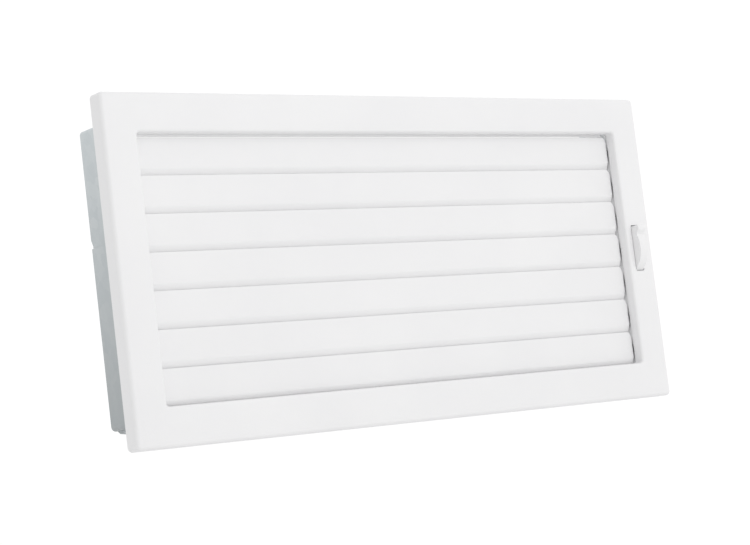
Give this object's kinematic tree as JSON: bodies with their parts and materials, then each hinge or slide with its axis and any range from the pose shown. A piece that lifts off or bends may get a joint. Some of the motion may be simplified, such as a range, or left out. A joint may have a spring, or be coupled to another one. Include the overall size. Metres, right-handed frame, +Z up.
{
  "type": "louvred air grille",
  "caption": "White rectangular air grille with linked adjustable slats worked by a thumb lever, in a flanged frame that plugs into a galvanised wall sleeve.",
  "frame": {"origin": "centre of the grille on the wall plane, which is the back edge of the front flange's rim", "axes": "+X to the right seen from the room, +Y into the wall, +Z up"},
  "size_m": [0.45, 0.058, 0.22],
  "materials": {
    "white_powder_coat": "satin white powder coat",
    "galvanised_steel": "hot-dip galvanised, dull, faint spangle",
    "zinc_plated_steel": "bright zinc plate",
    "spring_steel": "blued spring steel"
  },
  "bodies": {
    "sleeve": {"wall_sleeve": "galvanised_steel", "lap_rivet_1": "zinc_plated_steel", "lap_rivet_2": "zinc_plated_steel"},
    "front": {"front_flange": "white_powder_coat", "side_plate_left": "white_powder_coat", "side_plate_right": "white_powder_coat", "top_rail": "white_powder_coat", "bottom_rail": "white_powder_coat", "leaf_spring_left_lower": "spring_steel", "leaf_spring_left_upper": "spring_steel", "leaf_spring_right_lower": "spring_steel", "leaf_spring_right_upper": "spring_steel", "spring_rivet_left_lower": "zinc_plated_steel", "spring_rivet_left_upper": "zinc_plated_steel", "spring_rivet_right_lower": "zinc_plated_steel", "spring_rivet_right_upper": "zinc_plated_steel"},
    "slat_body_1": {"slat_1": "white_powder_coat", "pivot_stud_left_1": "zinc_plated_steel", "pivot_stud_right_1": "zinc_plated_steel", "crank_pin_1": "zinc_plated_steel"},
    "slat_body_2": {"slat_2": "white_powder_coat", "pivot_stud_left_2": "zinc_plated_steel", "pivot_stud_right_2": "zinc_plated_steel", "crank_pin_2": "zinc_plated_steel"},
    "slat_body_3": {"slat_3": "white_powder_coat", "pivot_stud_left_3": "zinc_plated_steel", "pivot_stud_right_3": "zinc_plated_steel", "crank_pin_3": "zinc_plated_steel"},
    "slat_body_4": {"slat_4": "white_powder_coat", "pivot_stud_left_4": "zinc_plated_steel", "drive_shaft": "zinc_plated_steel", "thumb_lever": "white_powder_coat", "lever_ring": "spring_steel", "crank_pin_4": "zinc_plated_steel"},
    "slat_body_5": {"slat_5": "white_powder_coat", "pivot_stud_left_5": "zinc_plated_steel", "pivot_stud_right_5": "zinc_plated_steel", "crank_pin_5": "zinc_plated_steel"},
    "slat_body_6": {"slat_6": "white_powder_coat", "pivot_stud_left_6": "zinc_plated_steel", "pivot_stud_right_6": "zinc_plated_steel", "crank_pin_6": "zinc_plated_steel"},
    "slat_body_7": {"slat_7": "white_powder_coat", "pivot_stud_left_7": "zinc_plated_steel", "pivot_stud_right_7": "zinc_plated_steel", "crank_pin_7": "zinc_plated_steel"},
    "link": {"link_bar": "zinc_plated_steel"}
  },
  "joints": [
    {"name": "front_slide", "type": "slide", "parent": "sleeve", "child": "front", "axis": [0, -1, 0], "range_m": [0, 0.06]},
    {"name": "lever_hinge", "type": "hinge", "parent": "front", "child": "slat_body_4", "pos_m": [0, 0.0016, -0.001], "axis": [1, 0, 0], "range_deg": [0, 70]},
    {"name": "slat_1_hinge", "type": "hinge", "parent": "front", "child": "slat_body_1", "pos_m": [0, 0.0016, 0.071], "axis": [1, 0, 0], "range_deg": [0, 70]},
    {"name": "slat_2_hinge", "type": "hinge", "parent": "front", "child": "slat_body_2", "pos_m": [0, 0.0016, 0.047], "axis": [1, 0, 0], "range_deg": [0, 70]},
    {"name": "slat_3_hinge", "type": "hinge", "parent": "front", "child": "slat_body_3", "pos_m": [0, 0.0016, 0.023], "axis": [1, 0, 0], "range_deg": [0, 70]},
    {"name": "slat_5_hinge", "type": "hinge", "parent": "front", "child": "slat_body_5", "pos_m": [0, 0.0016, -0.025], "axis": [1, 0, 0], "range_deg": [0, 70]},
    {"name": "slat_6_hinge", "type": "hinge", "parent": "front", "child": "slat_body_6", "pos_m": [0, 0.0016, -0.049], "axis": [1, 0, 0], "range_deg": [0, 70]},
    {"name": "slat_7_hinge", "type": "hinge", "parent": "front", "child": "slat_body_7", "pos_m": [0, 0.0016, -0.073], "axis": [1, 0, 0], "range_deg": [0, 70]},
    {"name": "link_hinge", "type": "hinge", "parent": "slat_body_4", "child": "link", "pos_m": [0.2014, 0.00915, -0.0059], "axis": [1, 0, 0], "range_deg": [-70, 0]}
  ],
  "couplings": [
    {"joint": "slat_1_hinge", "follows": "lever_hinge", "ratio": 1},
    {"joint": "slat_2_hinge", "follows": "lever_hinge", "ratio": 1},
    {"joint": "slat_3_hinge", "follows": "lever_hinge", "ratio": 1},
    {"joint": "slat_5_hinge", "follows": "lever_hinge", "ratio": 1},
    {"joint": "slat_6_hinge", "follows": "lever_hinge", "ratio": 1},
    {"joint": "slat_7_hinge", "follows": "lever_hinge", "ratio": 1},
    {"joint": "link_hinge", "follows": "lever_hinge", "ratio": -1}
  ]
}
